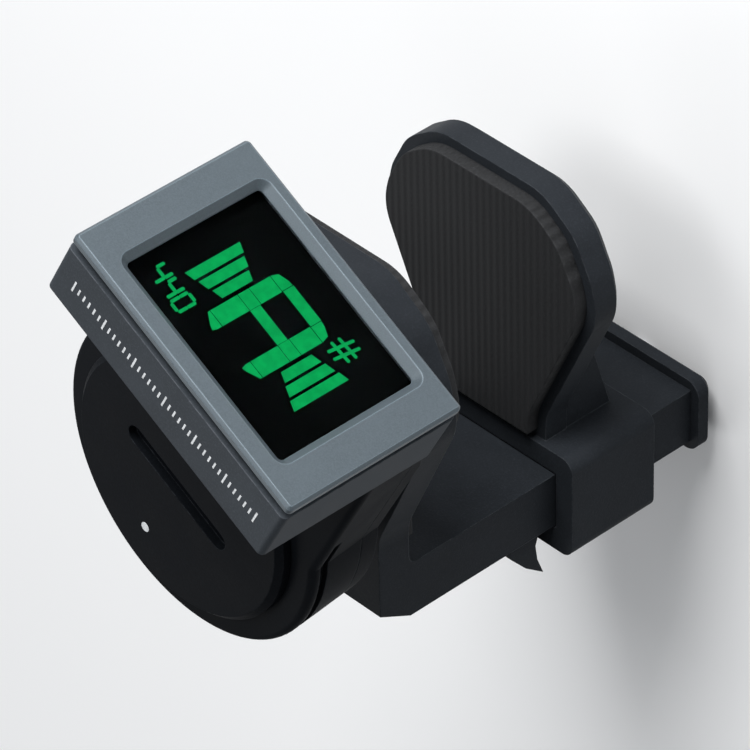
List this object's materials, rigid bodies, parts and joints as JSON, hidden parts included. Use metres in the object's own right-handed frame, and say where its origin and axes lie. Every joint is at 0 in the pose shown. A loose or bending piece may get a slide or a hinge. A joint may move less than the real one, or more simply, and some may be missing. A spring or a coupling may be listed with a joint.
{
  "type": "clip-on instrument tuner",
  "caption": "Clip-on tuner: box-shaped display pod on a round battery housing that swivels on a ratcheting two-jaw headstock clip.",
  "frame": {"origin": "where the swivel axis meets the contact face of the fixed jaw's pad", "axes": "+Z along the swivel axis, from the jaws to the battery lid; the display faces -Y; the clip's arm stands behind the swivel, turned 29 degrees about +Z from +Y towards -X"},
  "size_m": [0.0331, 0.0506, 0.0602],
  "materials": {
    "clip_plastic": "fine spark-eroded texture, ABS",
    "pad_rubber": "soft, dull",
    "steel": "turned or stamped, zinc plated",
    "white_acetal": "natural acetal",
    "body_plastic": "fine texture, ABS",
    "brass": "rolled sheet",
    "piezo_ceramic": "silvered ceramic",
    "cell_can": "stamped stainless can",
    "contact_metal": "nickel-plated spring strip",
    "flex_polyimide": "amber polyimide film",
    "bezel_plastic": "satin blue-grey",
    "lens": "clear polished acrylic",
    "display_dark": "dark inverted display",
    "diffuser": "frosted light guide",
    "led": "phosphor-covered package",
    "board_green": "solder-masked glass-epoxy board",
    "chip_black": "moulded epoxy package",
    "key_plastic": "satin"
  },
  "bodies": {
    "clip": {"clip_bracket": "clip_plastic", "fixed_jaw_pad": "pad_rubber", "swivel_post": "steel", "retaining_washer": "steel", "swivel_screw": "steel", "friction_washer": "white_acetal", "arm_end_stop": "clip_plastic", "end_stop_screw": "steel"},
    "head": {"body_shell": "body_plastic", "body_base": "body_plastic", "base_screws": "steel", "wave_washer": "steel", "piezo_disc": "brass", "piezo_element": "piezo_ceramic", "coin_cell": "cell_can", "contact_negative": "contact_metal", "contact_positive": "contact_metal", "flex_cable": "flex_polyimide", "pod_housing": "body_plastic", "pod_screws": "steel", "front_bezel": "bezel_plastic", "display_lens": "lens", "lcd_panel": "display_dark", "backlight_diffuser": "diffuser", "backlight_leds": "led", "zebra_strips": "pad_rubber", "main_board": "board_green", "controller_chip": "chip_black", "key_switches": "contact_metal"},
    "lid": {"battery_lid": "body_plastic"},
    "power_key": {"power_button": "key_plastic"},
    "down_key": {"tune_down_button": "key_plastic"},
    "up_key": {"tune_up_button": "key_plastic"},
    "jaw": {"moving_jaw": "clip_plastic", "moving_jaw_pad": "pad_rubber", "lever_pin": "steel"},
    "lever": {"release_lever": "clip_plastic", "lever_spring": "steel"}
  },
  "joints": [
    {"name": "head_swivel", "type": "hinge", "parent": "clip", "child": "head", "pos_m": [0, 0, 0], "axis": [0, 0, 1], "continuous": true},
    {"name": "jaw_slide", "type": "slide", "parent": "clip", "child": "jaw", "axis": [0, 0, -1], "range_m": [-0.01, 0.006]},
    {"name": "lever_hinge", "type": "hinge", "parent": "jaw", "child": "lever", "pos_m": [-0.00933, 0.01684, -0.0196], "axis": [-0.8746, -0.4848, 0], "range_deg": [0, 12], "stiffness_Nm_per_rad": 0.01, "springref_deg": -11.46},
    {"name": "lid_turn", "type": "hinge", "parent": "head", "child": "lid", "pos_m": [0, 0, 0.0166], "axis": [0, 0, 1], "range_deg": [0, 30]},
    {"name": "power_press", "type": "slide", "parent": "head", "child": "power_key", "axis": [0, -1, 0], "range_m": [0, 0.0003], "stiffness_N_per_m": 1000, "springref_m": -0.0002},
    {"name": "tune_down_press", "type": "slide", "parent": "head", "child": "down_key", "axis": [0, -1, 0], "range_m": [0, 0.0003], "stiffness_N_per_m": 1000, "springref_m": -0.0002},
    {"name": "tune_up_press", "type": "slide", "parent": "head", "child": "up_key", "axis": [0, -1, 0], "range_m": [0, 0.0003], "stiffness_N_per_m": 1000, "springref_m": -0.0002}
  ]
}
